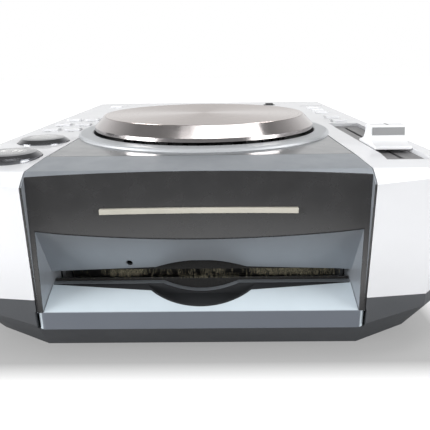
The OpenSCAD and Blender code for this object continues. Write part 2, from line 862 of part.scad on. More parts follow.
module tempo_knob() {
    lip = deck_z - 0.5;
    top = deck_z + knob_h;
    a = knob_l / 2;
    color("#dfe1e4") translate([slider_x, knob_y, 0]) {
        across(knob_w / 2) polygon([
            [-a, lip], [-a, lip + 1.5], [-a * 0.72, lip + 2.2], [-a * 0.5, lip + 3.4],
            [-a * 0.37, lip + 5.1], [-a * 0.3, top - 0.6], [-a * 0.24, top], [a * 0.24, top],
            [a * 0.3, top - 0.6], [a * 0.37, lip + 5.1], [a * 0.5, lip + 3.4],
            [a * 0.72, lip + 2.2], [a, lip + 1.5], [a, lip]]);
        block([-lever_t / 2, -3, under_z - bezel_t - pot_h + 3], [lever_t / 2, 3, lip + 1]);
    }
}

// ---------------------------------------------------------------- display and power

module display_window() {
    x = window_w / 2;
    y = window_d / 2;
    color("#15171a") translate([0, window_y, 0]) {
        block([-x, -y, under_z - eps], [x, y, window_z]);
        block([-x - 2, -y - 2, under_z - 1.5], [x + 2, y + 2, under_z]);
    }
}

module display_module() {
    color(steel) translate([0, window_y, 0])
        block([-window_w / 2 + 4, -window_d / 2 + 3, under_z - 9.5],
            [window_w / 2 - 4, window_d / 2 - 3, under_z - 1.5]);
}

rocker_z = deck_z - 1.2;
rocker_pin = 0.8;
collar_x = power_w / 2 + key_gap + 1.2;
collar_y = power_l / 2 + key_gap + 1.2;

module power_rocker() {
    x = power_w / 2;
    color(black) translate([power_x, power_y, 0]) {
        intersection() {
            across(x) polygon([[-power_l / 2, rocker_z - 1], [-power_l / 2, deck_z + 0.6],
                [0, deck_z + 1.1], [power_l / 2, deck_z + 1.7], [power_l / 2, rocker_z - 1]]);
            translate([0, 0, rocker_z]) rotate([0, 90, 0])
                cylinder(r = power_l / 2 + 0.12, h = power_w, center = true);
        }
        translate([0, 0, rocker_z]) rotate([0, 90, 0])
            cylinder(r = rocker_pin, h = 2 * collar_x - 0.8, center = true);
    }
}

module power_switch() {
    x = power_w / 2 + key_gap;
    y = power_l / 2 + key_gap;
    color("#26282b") translate([power_x, power_y, 0]) difference() {
        union() {
            block([-collar_x, -collar_y, under_z - 12], [collar_x, collar_y, deck_z]);
            block([-collar_x - 1, -collar_y - 1, under_z - 12], [collar_x + 1, collar_y + 1, under_z]);
        }
        block([-x, -y, under_z - 5], [x, y, deck_z + 1]);
        translate([0, 0, rocker_z]) rotate([0, 90, 0])
            cylinder(r = rocker_pin + run_gap, h = 2 * collar_x + 1, center = true);
    }
}

// ---------------------------------------------------------------- boards

module key_boards() {
    x0 = round_x - 14;
    x1 = round_x + 9;
    color(board_green) {
        block([x0, play_y - 12, board_z], [x1, eject_y + 10, board_z + board_t]);
        block([slider_x - 13, master_y - 7, board_z],
            [slider_x + 12, effect_y + 2 * effect_pitch + 16, board_z + board_t]);
        for (p = concat(small_keys, [[round_x, play_y], [round_x, cue_y]]))
            translate([p[0], p[1], board_z + board_t])
                block([-3, -3, -eps], [3, 3, switch_h]);
    }
}

module main_board() {
    color(board_green) {
        block([main_x0, main_y0, main_z], [main_x1, main_y1, main_z + board_t]);
        for (p = [[0, 20, 9], [30, 40, 4], [60, 24, 6], [20, 66, 3]])
            block([main_x0 + p[0] + 6, main_y0 + p[1], main_z + board_t - eps],
                [main_x0 + p[0] + 24, main_y0 + p[1] + 14, main_z + board_t + p[2]]);
    }
}

module transformer() {
    coil_x = 17 - half_w;
    color("#6d6f73") {
        translate([coil_x, main_y0 + 20, floor_z]) cube([42, 34, 28]);
        translate([coil_x + 6, main_y0 + 14, floor_z + 5]) cube([30, 46, 18]);
    }
}

module ribbon_cable() {
    x = slider_x - 6;
    y = range_y + 30;
    color("#c9ccd0") {
        block([x - 8, y, main_z + board_t], [x + 8, y + 0.8, board_z]);
    }
}

// ---------------------------------------------------------------- disc drive

// Bearing lug with a bore for a shaft along Y
module lug(x, y, t, h, bore) {
    translate([x, y, rod_z]) difference() {
        block([-3.5, 0, drive_z + drive_t - rod_z - eps], [3.5, t, h]);
        rotate([-90, 0, 0]) translate([0, 0, -1]) cylinder(r = bore, h = t + 2);
    }
}

module loader_frame() {
    color(steel) difference() {
        union() {
            block([-loader_x - side_t, loader_y0, drive_z],
                [loader_x + side_t, loader_y1, drive_z + drive_t]);
            for (s = [-1, 1]) translate([s * (loader_x + side_t / 2), 0, 0])
                block([-side_t / 2, loader_y0, drive_z], [side_t / 2, loader_y1, seat_z + 6]);
            for (y = [rod_y0, rod_y1 - 2], s = [-1, 1]) lug(s * rod_x, y, 2, 3, rod_r);
            for (y = [rod_y0, rod_y1 - 2]) lug(screw_x, y, 2, 3, rod_r + run_gap);
            for (s = [-1, 1]) block([s * 15 - 1.5, arm_pin_y - 4, drive_z + drive_t - eps],
                [s * 15 + 1.5, arm_pin_y + 4, arm_z + 4]);
        }
        // Openings for the pickup, the loading motor and the shafts
        block([-17, rod_y0 + 3, 0], [17, rod_y1 - 3, drive_z + drive_t + 1]);
        block([loader_x - 22, pinion_y - 9, 0], [loader_x, pinion_y + 9, drive_z + drive_t + 1]);
        translate([0, spindle_y, 0]) cylinder(r = 5, h = drive_z + drive_t + 1);
        across_bore(roller_y, roller_z, rod_r + run_gap);
        translate([loader_x - 1, pinion_y, pinion_z]) rotate([0, 90, 0]) cylinder(r = 2.4, h = 4);
        across_bore(arm_pin_y, arm_z + arm_t / 2, rod_r + run_gap);
        damper_places() cylinder(r = screw_r + 0.2, h = 40);
        block([screw_x - 6, rod_y1, 0], [screw_x + 6, loader_y1 + 1, drive_z + drive_t + 1]);
    }
}

// A bore through the whole frame along X
module across_bore(y, z, r) {
    translate([0, y, z]) rotate([0, 90, 0]) cylinder(r = r, h = body_w, center = true);
}

module damper_places() {
    corners(loader_x - 8, loader_y0 + 8, loader_y1 - 18) children();
}

module loader_dampers() {
    color(black) damper_places() translate([0, 0, floor_z]) difference() {
        cylinder(r = 5, h = drive_z - floor_z);
        translate([0, 0, -1]) cylinder(r = screw_r + 0.2, h = 30);
    }
}

module guide_rods() {
    color("#d5d7da") for (s = [-1, 1]) translate([s * rod_x, rod_y0, rod_z]) rotate([-90, 0, 0])
        cylinder(r = rod_r, h = rod_y1 - rod_y0);
}

module spindle_motor() {
    color("#8b8d90") translate([0, spindle_y, floor_z + 1]) difference() {
        cylinder(r = 14, h = drive_z - floor_z - 1);
        translate([0, 0, 1]) cylinder(r = motor_shaft_r + run_gap, h = 20);
    }
}

module turntable() {
    color(black) translate([0, spindle_y, 0]) rotate_extrude() polygon([
        [0, floor_z + 3], [motor_shaft_r, floor_z + 3], [motor_shaft_r, seat_z - 5], [4, seat_z - 5],
        [4, seat_z - 3], [table_r, seat_z - 2.4], [table_r, seat_z - 0.2], [table_r - 1, seat_z],
        [7.4, seat_z], [6.4, seat_z + 0.35], [0, seat_z + 0.35]]);
}

module pickup_sled() {
    color("#3a3c40") translate([0, sled_y, 0]) difference() {
        union() {
            block([-rod_x - 3, -sled_l / 2, rod_z - 2.4], [rod_x + 3, sled_l / 2, rod_z + 2.6]);
            block([rod_x, -4, rod_z - 2.4], [screw_x + 3, 4, rod_z + 2.6]);
            translate([0, 0, rod_z + 2]) cylinder(r = 4, h = 4.4);
        }
        for (x = [-rod_x, rod_x, screw_x]) translate([x, 0, rod_z]) rotate([90, 0, 0])
            cylinder(r = rod_r + run_gap, h = 3 * sled_l, center = true);
    }
}

module lead_screw() {
    color("#caccd0") translate([screw_x, rod_y0 - 1, rod_z]) rotate([-90, 0, 0])
        cylinder(r = rod_r, h = rod_y1 - rod_y0 + 6);
}

module sled_motor() {
    color("#8b8d90") translate([screw_x, rod_y1, rod_z]) rotate([-90, 0, 0]) difference() {
        cylinder(r = 5.5, h = 14);
        translate([0, 0, -1]) cylinder(r = rod_r + run_gap, h = 9);
    }
}

// Spur gear outline with tapered teeth
module gear_outline(teeth, bore) {
    r = gear_m * teeth / 2;
    a = 360 / teeth;
    difference() {
        polygon([for (i = [0:teeth - 1], k = [0:3])
            let (w = [-0.33, -0.13, 0.13, 0.33][k] * a,
                 q = (k == 0 || k == 3) ? r - gear_m : r + 0.75 * gear_m)
                [q * cos(i * a + w), q * sin(i * a + w)]]);
        circle(r = bore);
    }
}

module loading_roller() {
    x = loader_x - 1;
    color("#2c2c2e") translate([0, roller_y, roller_z]) rotate([0, 90, 0]) {
        rotate_extrude() polygon([[0, -x], [roller_r, -x], [roller_r, -x + 14], [roller_r - 0.9, 0],
            [roller_r, x - 14], [roller_r, x], [0, x]]);
        translate([0, 0, -loader_x - side_t - 1])
            cylinder(r = rod_r, h = 2 * (loader_x + side_t) + gear_t + 3);
        translate([0, 0, gear_x]) linear_extrude(gear_t) rotate(roller_turn)
            gear_outline(roller_teeth, 0.1);
    }
}
// The gears lie in a plane seen from +X, where the pinion is 30 degrees below the roller's level
mesh_angle = atan2(pinion_y - roller_y, -(pinion_z - roller_z));
roller_turn = mesh_angle;
pinion_turn = mesh_angle + 180 + 180 / pinion_teeth;

module loading_pinion() {
    color("#e8e4d8") translate([0, pinion_y, pinion_z]) rotate([0, 90, 0]) {
        translate([0, 0, gear_x]) linear_extrude(gear_t) rotate(pinion_turn)
            gear_outline(pinion_teeth, 0.1);
        translate([0, 0, loader_x - 12]) cylinder(r = motor_shaft_r, h = side_t + gear_t + 13.5);
    }
}

module loading_motor() {
    color("#8b8d90") translate([loader_x - 20, pinion_y, pinion_z]) rotate([0, 90, 0]) difference() {
        cylinder(r = 7.5, h = 20);
        translate([0, 0, 5]) cylinder(r = motor_shaft_r + run_gap, h = 20);
    }
}

module clamp_arm() {
    color(steel) difference() {
        union() {
            block([-12, spindle_y - 15, arm_z], [12, arm_pin_y + 3, arm_z + arm_t]);
            translate([0, arm_pin_y, arm_z + arm_t / 2]) rotate([0, 90, 0])
                cylinder(r = rod_r, h = 36, center = true);
        }
        translate([0, spindle_y, arm_z - 1]) cylinder(r = 3 + run_gap, h = 4);
    }
}

module clamp_puck() {
    color(black) translate([0, spindle_y, 0]) rotate_extrude() polygon([
        [0, puck_z], [12, puck_z], [13.5, puck_z + 1], [13.5, puck_z + 2.7], [3, puck_z + 2.7],
        [3, arm_z + arm_t + 0.3], [7, arm_z + arm_t + 0.3], [7, arm_z + arm_t + 1.3],
        [0, arm_z + arm_t + 1.3]]);
}

// ---------------------------------------------------------------- rear

module rear_panel() {
    z0 = socket_z - panel_h / 2;
    z1 = socket_z + panel_h / 2;
    color("#3b3d41") difference() {
        block([-panel_x - 1.5, panel_y - panel_t, z0 - 1.5], [panel_x + 1.5, rear_y - wall, z1 + 1.5]);
        block([-panel_x, panel_y, z0], [panel_x, rear_y, z1]);
        for (i = [0, 1]) rear_bore(jack_x + i * jack_pitch, jack_r + 1);
        rear_bore(control_x, 4);
        block([inlet_x - 10, panel_y - 5, socket_z - 6], [inlet_x + 10, panel_y + 5, socket_z + 6]);
    }
}

module rear_bore(x, r) {
    translate([x, panel_y - panel_t - 1, socket_z]) rotate([-90, 0, 0]) cylinder(r = r, h = panel_t + 2);
}

module output_jacks() {
    color("#d8c27a") for (i = [0, 1])
        translate([jack_x + i * jack_pitch, panel_y - jack_back, socket_z]) rotate([-90, 0, 0]) difference() {
            union() {
                cylinder(r = jack_r + 1, h = jack_back);
                translate([0, 0, jack_back - panel_t - 4]) cylinder(r = jack_r + 1.6, h = 4);
                cylinder(r = jack_r - 0.25, h = jack_back + 1);
                translate([0, 0, jack_back + 0.3]) cylinder(r = jack_r, h = jack_out);
            }
            translate([0, 0, 11]) cylinder(r = 3.3, h = 10);
            translate([0, 0, 2]) cylinder(r = 1.55, h = 12);
        }
}

module control_jack() {
    color(black) translate([control_x, panel_y - 12, socket_z]) rotate([-90, 0, 0]) difference() {
        union() {
            cylinder(r = 4, h = 13.5);
            translate([0, 0, 0.5]) cylinder(r = 5.5, h = 12 - panel_t - 0.5);
        }
        translate([0, 0, 1]) cylinder(r = control_r, h = 14);
    }
}

module ac_inlet() {
    d = 20;
    color(black) translate([inlet_x, panel_y, socket_z]) {
        difference() {
            union() {
                block([-10, -d, -6], [10, 1.5, 6]);
                block([-13, 0, -8.5], [13, 1.5, 8.5]);
            }
            translate([-4.3, -d + 3, 0]) rotate([-90, 0, 0]) cylinder(r = 4.2, h = d);
            translate([4.3, -d + 3, 0]) rotate([-90, 0, 0]) cylinder(r = 4.2, h = d);
            block([-4.3, -d + 3, -4.2], [4.3, 3, 4.2]);
        }
        for (s = [-1, 1]) translate([s * 4.3, -d + 2, 0]) rotate([-90, 0, 0]) cylinder(r = 1.2, h = 12);
    }
}

module screws() {
    color(steel) {
        // Case screws from below into the top shell's posts
        post_places() {
            translate([0, 0, base_z + 0.6]) cylinder(r = 3, h = 2.4);
            translate([0, 0, base_z + 2]) cylinder(r = screw_r, h = split_z + 10 - base_z - 2);
        }
        // Screws that hold the loader frame down on its dampers
        damper_places() {
            translate([0, 0, floor_z]) cylinder(r = screw_r, h = drive_z + drive_t - floor_z + 0.5);
            translate([0, 0, drive_z + drive_t]) cylinder(r = 3, h = 2);
        }
    }
}

base_tray();
feet();
top_shell();
centre_deck();
front_fascia();
loading_shelf();
slot_escutcheon();
slot_felts();
light_bar();
jog_ring();
jog_tray();
jog_bush();
encoder_sensor();
display_window();
display_module();
slider_bezel();
slide_pot();
key_boards();
main_board();
transformer();
ribbon_cable();
loader_frame();
loader_dampers();
guide_rods();
spindle_motor();
sled_motor();
loading_motor();
rear_panel();
output_jacks();
control_jack();
ac_inlet();
power_switch();
screws();
front_lens();
jog_dial();
jog_plate();
encoder_ring();
play_button();
cue_button();
track_back_button();
track_forward_button();
search_back_button();
search_forward_button();
folder_back_button();
folder_forward_button();
eject_button();
effect_button(0);  // effect_button_1
effect_button(1);  // effect_button_2
effect_button(2);  // effect_button_3
tempo_range_button();
master_tempo_button();
tempo_knob();
power_rocker();
turntable();
clamp_arm();
clamp_puck();
loading_roller();
loading_pinion();
pickup_sled();
lead_screw();
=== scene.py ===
"""Finishes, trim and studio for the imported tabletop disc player."""

import json
import math
import random

import bmesh
import bpy
from bpy.props import FloatProperty, FloatVectorProperty, IntProperty, PointerProperty
from mathutils import Matrix, Vector


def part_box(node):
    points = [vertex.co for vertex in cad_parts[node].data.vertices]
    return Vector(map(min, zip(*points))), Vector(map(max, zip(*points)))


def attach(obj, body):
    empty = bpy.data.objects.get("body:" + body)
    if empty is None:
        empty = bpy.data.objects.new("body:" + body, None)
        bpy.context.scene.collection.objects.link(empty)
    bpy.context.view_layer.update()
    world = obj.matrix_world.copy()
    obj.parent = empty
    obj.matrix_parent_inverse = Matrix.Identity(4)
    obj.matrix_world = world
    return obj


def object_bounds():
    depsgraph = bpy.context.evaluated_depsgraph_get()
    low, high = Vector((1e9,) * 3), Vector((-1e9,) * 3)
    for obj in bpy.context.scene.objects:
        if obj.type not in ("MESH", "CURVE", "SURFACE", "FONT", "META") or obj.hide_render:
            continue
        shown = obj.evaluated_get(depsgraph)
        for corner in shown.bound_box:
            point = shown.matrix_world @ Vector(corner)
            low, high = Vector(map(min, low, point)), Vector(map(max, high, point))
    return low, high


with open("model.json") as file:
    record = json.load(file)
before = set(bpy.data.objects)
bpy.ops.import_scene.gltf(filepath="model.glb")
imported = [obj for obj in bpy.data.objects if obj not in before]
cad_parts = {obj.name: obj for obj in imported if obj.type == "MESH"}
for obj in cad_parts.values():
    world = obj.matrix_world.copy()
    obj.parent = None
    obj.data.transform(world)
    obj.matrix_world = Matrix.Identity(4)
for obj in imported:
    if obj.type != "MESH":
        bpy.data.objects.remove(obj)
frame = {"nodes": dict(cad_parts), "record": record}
CAD_BOX = [list(corner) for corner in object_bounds()]

bl_info = {
    "name": "Disc player finishes",
    "version": (1, 0, 0),
    "blender": (4, 5, 0),
    "location": "View3D > Sidebar > Disc player",
    "description": "Builds the finishes, trim and studio of a tabletop disc player",
    "category": "Object",
}

MM = 0.001
CHASSIS = "chassis"
WHITE = (1, 1, 1, 1)
PLATE_LOW, PLATE_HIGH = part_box("jog_plate")
JOG_CENTRE = (PLATE_LOW + PLATE_HIGH) / 2
DECK_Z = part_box("centre_deck")[1].z
FRONT_Y = CAD_BOX[0][1]
MOUNT_PLACES = {mount["name"]: mount["pos_m"] for mount in frame["record"]["mounts"]}

# Every printed mark starts a little below its surface and ends a little above it
PRINT_SINK, PRINT_RISE = 0.05 * MM, 0.04 * MM


def paint(red, green, blue):
    """Linear colour of an 8-bit display colour."""
    return tuple((c / 255) ** 2.2 for c in (red, green, blue))


def colour(name, value, about):
    return FloatVectorProperty(name=name, description=about, subtype="COLOR", size=3,
                               min=0, max=1, default=value)


def length(name, value, about):
    return FloatProperty(name=name, description=about, subtype="DISTANCE", unit="LENGTH",
                         default=value, min=0)


def strength(name, value, about):
    return FloatProperty(name=name, description=about, default=value, min=0)


# ------------------------------------------------------------------ settings

class PlayerColours(bpy.types.PropertyGroup):
    case_silver: colour("Case silver", paint(220, 221, 224), "Satin silver paint of the upper case")
    front_grey: colour("Front grey", paint(142, 147, 153), "Metallic grey front moulding")
    lens_dark: colour("Lens", paint(42, 42, 43), "Smoked panel over the slot")
    deck_grey: colour("Deck grey", paint(92, 95, 98), "Grey deck round the jog dial")
    shelf_blue: colour("Shelf blue-grey", paint(191, 202, 209), "Painted loading shelf")
    # Painted shade: the lip's front face is painted darker than the shelf for the shade it gets under
    # light from above
    lip_shade_blue: colour("Lip blue-grey", paint(102, 107, 115), "Front face of the shelf's lip")
    base_grey: colour("Base grey", paint(80, 82, 85), "Dark grey base moulding")
    black: colour("Black plastic", paint(27, 28, 30), "Fine-textured black plastic")
    slot_surround: colour("Slot surround", paint(26, 28, 31), "Matt surround of the slot")
    felt: colour("Felt", paint(9, 9, 8), "Backing of the dust felts")
    bristle: colour("Bristles", paint(86, 82, 68), "Bristles of the dust felts")
    rubber: colour("Rubber", paint(38, 38, 38), "Feet and dampers")
    ring_grey: colour("Ring grey", paint(172, 175, 178), "Fixed ring round the dial")
    dial_chrome: colour("Dial chrome", paint(176, 171, 170), "Dark chrome of the dial's bevel")
    plate_warm: colour("Plate", paint(182, 173, 169), "Brushed metal plate on the dial")
    key_silver: colour("Key silver", paint(226, 227, 229), "Small silver keys")
    key_grey: colour("Round key grey", paint(138, 139, 140), "Satin grey faces of the round keys")
    key_rim: colour("Round key rim", paint(120, 121, 124), "Dark chrome rims of the round keys")
    grip_grey: colour("Knob grip", paint(138, 139, 140), "Ribbed bands of the tempo knob")
    print_grey: colour("Print", paint(70, 72, 76), "Printed marks on the silver case")
    print_white: colour("White print", paint(240, 240, 238), "Printed marks on the round keys")
    slider_grey: colour("Slider recess", paint(116, 115, 116), "Recess of the tempo slider")
    diffuser: colour("Light diffuser", paint(186, 183, 172), "Milky light bar")
    display: colour("Display", paint(26, 28, 31), "Smoked window of the display")
    segments: colour("Segments", paint(58, 62, 66), "Unlit segments of the display")
    brass: colour("Brass", paint(205, 178, 120), "Plated brass")
    steel: colour("Steel", paint(190, 192, 195), "Zinc-plated steel")
    board: colour("Board", paint(40, 96, 62), "Solder mask of the circuit boards")
    insulator_white: colour("White insulator", paint(232, 232, 228), "Left output socket")
    insulator_red: colour("Red insulator", paint(178, 34, 32), "Right output socket")


class PlayerEdges(bpy.types.PropertyGroup):
    case_edge: length("Case edge", 0.7 * MM, "Rounding of the large mouldings' edges")
    key_edge: length("Key edge", 0.35 * MM, "Rounding of the base, the shelf and the controls")
    fine_edge: length("Fine edge", 0.18 * MM, "Rounding of thin trim")


class PlayerTrim(bpy.types.PropertyGroup):
    key_flange: length("Key flange", 1.2 * MM, "How far a round key's hidden flange stands out")
    key_rim_width: length("Key rim", 2.3 * MM, "Width of a round key's rim outside its dished face")
    ribs: IntProperty(name="Ribs", description="Ribs on each side of the tempo knob", default=30,
                      min=1)
    rib_inset: length("Rib inset", 0.9 * MM, "Distance of the ribs from the knob's ends")
    upper_root: length("Upper bristles", 35.9 * MM, "Height of the upper bristles' roots")
    lower_root: length("Lower bristles", 31.1 * MM, "Height of the lower bristles' roots")
    bristle_root: length("Bristle root", 0.09 * MM, "Radius of a bristle at its root")
    bristle_tip: length("Bristle tip", 0.03 * MM, "Radius of a bristle at its tip")
    digits: IntProperty(name="Digits", description="Digits on the display", default=7, min=1)
    digit_pitch: length("Digit pitch", 9.5 * MM, "Distance from one digit to the next")


class StudioSettings(bpy.types.PropertyGroup):
    camera_place: FloatVectorProperty(name="Camera", description="Place of the camera", size=3,
                                      subtype="TRANSLATION", unit="LENGTH",
                                      default=(0.00793, -0.3212, 0.1227))
    pitch: FloatProperty(name="Pitch", description="Downward tilt of the camera", subtype="ANGLE",
                         default=math.radians(18.03))
    yaw: FloatProperty(name="Yaw", description="Turn of the camera towards -X", subtype="ANGLE",
                       default=math.radians(0.5))
    roll: FloatProperty(name="Roll", description="Roll of the camera", subtype="ANGLE",
                        default=math.radians(0.69))
    lens: FloatProperty(name="Lens", description="Focal length in millimetres", default=39.97)
    soffit_power: strength("Soffit", 4.4, "Power of the light over the front in watts")
    left_power: strength("Left window", 29.0, "Power of the left window in watts")
    right_power: strength("Right window", 20.0, "Power of the right window in watts")
    tube_power: strength("Tubes", 0.12, "Power of each small light in watts")
    sky_wall: strength("Wall", 1.0, "World strength low behind the player")
    sky_roof: strength("Roof", 0.3, "World strength overhead")
    sky_front: strength("Front sky", 0.5, "World strength behind the camera")
    floor_grey: colour("Floor", (0.15, 0.15, 0.15), "Table under the player")


def colours():
    return bpy.context.scene.player_colours


def edges():
    return bpy.context.scene.player_edges


def trim():
    return bpy.context.scene.player_trim


def studio():
    return bpy.context.scene.player_studio


# ------------------------------------------------------------------ shader steps

def new_material(name):
    material = bpy.data.materials.new(name)
    material.use_nodes = True
    tree = material.node_tree
    return material, tree, tree.nodes["Principled BSDF"]


def object_coords(tree, offset=(0, 0, 0)):
    coords = tree.nodes.new("ShaderNodeTexCoord")
    mapping = tree.nodes.new("ShaderNodeMapping")
    mapping.inputs["Location"].default_value = offset
    tree.links.new(coords.outputs["Object"], mapping.inputs["Vector"])
    return mapping.outputs["Vector"]


def noise(tree, vector, scale, detail=2.0):
    node = tree.nodes.new("ShaderNodeTexNoise")
    node.inputs["Scale"].default_value = scale
    node.inputs["Detail"].default_value = detail
    tree.links.new(vector, node.inputs["Vector"])
    return node.outputs["Fac"]


def spread(tree, value, low, high, start=0.3, end=0.7):
    """Turns a value between start and end into one between low and high."""
    node = tree.nodes.new("ShaderNodeMapRange")
    for socket, number in zip(node.inputs[1:5], (start, end, low, high)):
        socket.default_value = number
    tree.links.new(value, node.inputs["Value"])
    return node.outputs["Result"]


def shade(tree, fac, base, low, high):
    """Base colour darkened and lightened by a pattern."""
    ramp = tree.nodes.new("ShaderNodeValToRGB")
    for element, place, share in zip(ramp.color_ramp.elements, (0.3, 0.7), (low, high)):
        element.position = place
        element.color = (*[min(1, c * share) for c in base], 1)
    tree.links.new(fac, ramp.inputs["Fac"])
    return ramp.outputs["Color"]


def combine(tree, operation, first, second):
    """Adds or multiplies two values."""
    node = tree.nodes.new("ShaderNodeMath")
    node.operation = operation
    tree.links.new(first, node.inputs[0])
    tree.links.new(second, node.inputs[1])
    return node.outputs["Value"]


def move_vector(tree, operation, vector, other=(0, 0, 0)):
    """One step of vector arithmetic, or the vector's length."""
    node = tree.nodes.new("ShaderNodeVectorMath")
    node.operation = operation
    node.inputs[1].default_value = other
    tree.links.new(vector, node.inputs[0])
    return node.outputs["Value" if operation == "LENGTH" else "Vector"]


def bumped(tree, shader, height, amount, distance):
    bump = tree.nodes.new("ShaderNodeBump")
    bump.inputs["Strength"].default_value = amount
    bump.inputs["Distance"].default_value = distance
    tree.links.new(height, bump.inputs["Height"])
    tree.links.new(bump.outputs["Normal"], shader.inputs["Normal"])


# ------------------------------------------------------------------ materials

def moulded(name, base, rough, grain=900, relief=0.02, bump=0.25, metal=0.0, coat=0.0,
            mottle=0.05, wear=0.06):
    """Moulded or painted finish: slow colour drift, uneven gloss and a grain with its relief in mm."""
    material, tree, shader = new_material(name)
    vector = object_coords(tree)
    drift = noise(tree, vector, 38, 4)
    tree.links.new(shade(tree, drift, base, 1 - mottle, 1 + mottle), shader.inputs["Base Color"])
    tree.links.new(spread(tree, noise(tree, vector, 140, 5), rough - wear, rough + wear),
                   shader.inputs["Roughness"])
    bumped(tree, shader, noise(tree, vector, grain, 3), bump, relief * MM)
    shader.inputs["Metallic"].default_value = metal
    shader.inputs["Coat Weight"].default_value = coat
    shader.inputs["Coat Roughness"].default_value = 0.08
    return material


def brushed(name, base, rough):
    """Metal brushed in circles round the dial's axis."""
    material, tree, shader = new_material(name)
    vector = object_coords(tree, (-JOG_CENTRE.x, -JOG_CENTRE.y, 0))
    flat = move_vector(tree, "MULTIPLY", vector, (1, 1, 0))
    circles = tree.nodes.new("ShaderNodeTexNoise")
    circles.noise_dimensions = "1D"
    circles.inputs["Scale"].default_value = 2600
    circles.inputs["Detail"].default_value = 3
    tree.links.new(move_vector(tree, "LENGTH", flat), circles.inputs["W"])
    lines = circles.outputs["Fac"]
    tree.links.new(shade(tree, lines, base, 0.86, 1.1), shader.inputs["Base Color"])
    tree.links.new(spread(tree, lines, rough - 0.06, rough + 0.06), shader.inputs["Roughness"])
    bumped(tree, shader, lines, 0.18, 0.02 * MM)
    along = tree.nodes.new("ShaderNodeVectorMath")
    along.operation = "CROSS_PRODUCT"
    along.inputs[0].default_value = (0, 0, 1)
    tree.links.new(flat, along.inputs[1])
    tree.links.new(along.outputs["Vector"], shader.inputs["Tangent"])
    shader.inputs["Metallic"].default_value = 1
    shader.inputs["Anisotropic"].default_value = 0.75
    shader.inputs["Anisotropic Rotation"].default_value = 0.25
    return material


def pile(name, base):
    """Short felt: clumped colour, sheen and a deep matt relief."""
    material, tree, shader = new_material(name)
    clumps = noise(tree, object_coords(tree), 1400, 6)
    tree.links.new(shade(tree, clumps, base, 0.35, 2.2), shader.inputs["Base Color"])
    shader.inputs["Roughness"].default_value = 0.95
    shader.inputs["Sheen Weight"].default_value = 0.1
    bumped(tree, shader, clumps, 1.0, 0.4 * MM)
    return material


def smoked(name, base):
    """Dark clear acrylic over black print."""
    material, tree, shader = new_material(name)
    vector = object_coords(tree)
    tree.links.new(shade(tree, noise(tree, vector, 60, 3), base, 0.8, 1.2),
                   shader.inputs["Base Color"])
    tree.links.new(spread(tree, noise(tree, vector, 220, 4), 0.04, 0.1), shader.inputs["Roughness"])
    shader.inputs["Coat Weight"].default_value = 1
    return material


def paint_lip_shade(material, base):
    """Painted shade: darker paint on the shelf's upright front face, standing in for the shade that
    face gets under light from above.
    """
    tree = material.node_tree
    shader = tree.nodes["Principled BSDF"]
    split = tree.nodes.new("ShaderNodeSeparateXYZ")
    tree.links.new(object_coords(tree), split.inputs["Vector"])
    # Painted shade mask: 1 on the front face, fading to 0 from 0.2 to 0.5 mm behind it
    face = spread(tree, split.outputs["Y"], 1, 0, FRONT_Y + 0.2 * MM, FRONT_Y + 0.5 * MM)
    mix = tree.nodes.new("ShaderNodeMixRGB")
    tree.links.new(face, mix.inputs["Fac"])
    tree.links.new(shader.inputs["Base Color"].links[0].from_socket, mix.inputs["Color1"])
    mix.inputs["Color2"].default_value = (*base, 1)
    tree.links.new(mix.outputs["Color"], shader.inputs["Base Color"])


MATERIALS = {}


def make_materials():
    make_case_materials()
    make_slot_materials()
    make_control_materials()
    make_fitting_materials()


def make_case_materials():
    c, m = colours(), MATERIALS
    m["silver_case"] = moulded("Silver case paint", c.case_silver, 0.38, grain=2600, relief=0.006,
                               bump=0.2, metal=0.1, coat=0.4, mottle=0.02)
    m["grey_front"] = moulded("Front paint", c.front_grey, 0.38, grain=2400, relief=0.005,
                              bump=0.2, metal=0.5, coat=0.1, mottle=0.03)
    m["lens"] = moulded("Smoked lens", c.lens_dark, 0.25, relief=0.003, bump=0.1, coat=0.6,
                        mottle=0.08)
    m["dark_deck"] = moulded("Deck paint", c.deck_grey, 0.30, grain=2400, relief=0.002, bump=0.06,
                             metal=0.4, coat=0.45, mottle=0.02, wear=0.03)
    m["base_plastic"] = moulded("Base moulding", c.base_grey, 0.38, grain=1300, relief=0.008,
                                metal=0.15, coat=0.1)
    m["shelf_plastic"] = moulded("Shelf paint", c.shelf_blue, 0.45, grain=2400, relief=0.006,
                                 bump=0.2, metal=0.1, mottle=0.04)
    # Painted shade on the lip's upright front face
    paint_lip_shade(m["shelf_plastic"], c.lip_shade_blue)
    m["black_plastic"] = moulded("Black plastic", c.black, 0.45, grain=1100, relief=0.012, bump=0.3)


def make_slot_materials():
    c, m = colours(), MATERIALS
    m["felt"] = pile("Felt pile", c.felt)
    m["bristle"] = pile("Bristles", c.bristle)
    m["escutcheon"] = moulded("Slot surround", c.slot_surround, 0.7, grain=1100, relief=0.01, bump=0.3)
    m["rubber"] = moulded("Rubber", c.rubber, 0.75, grain=800, relief=0.03, bump=0.5)
    m["lamp_diffuser"] = moulded("Light diffuser", c.diffuser, 0.35, grain=600, relief=0.01,
                                 bump=0.15, mottle=0.08)


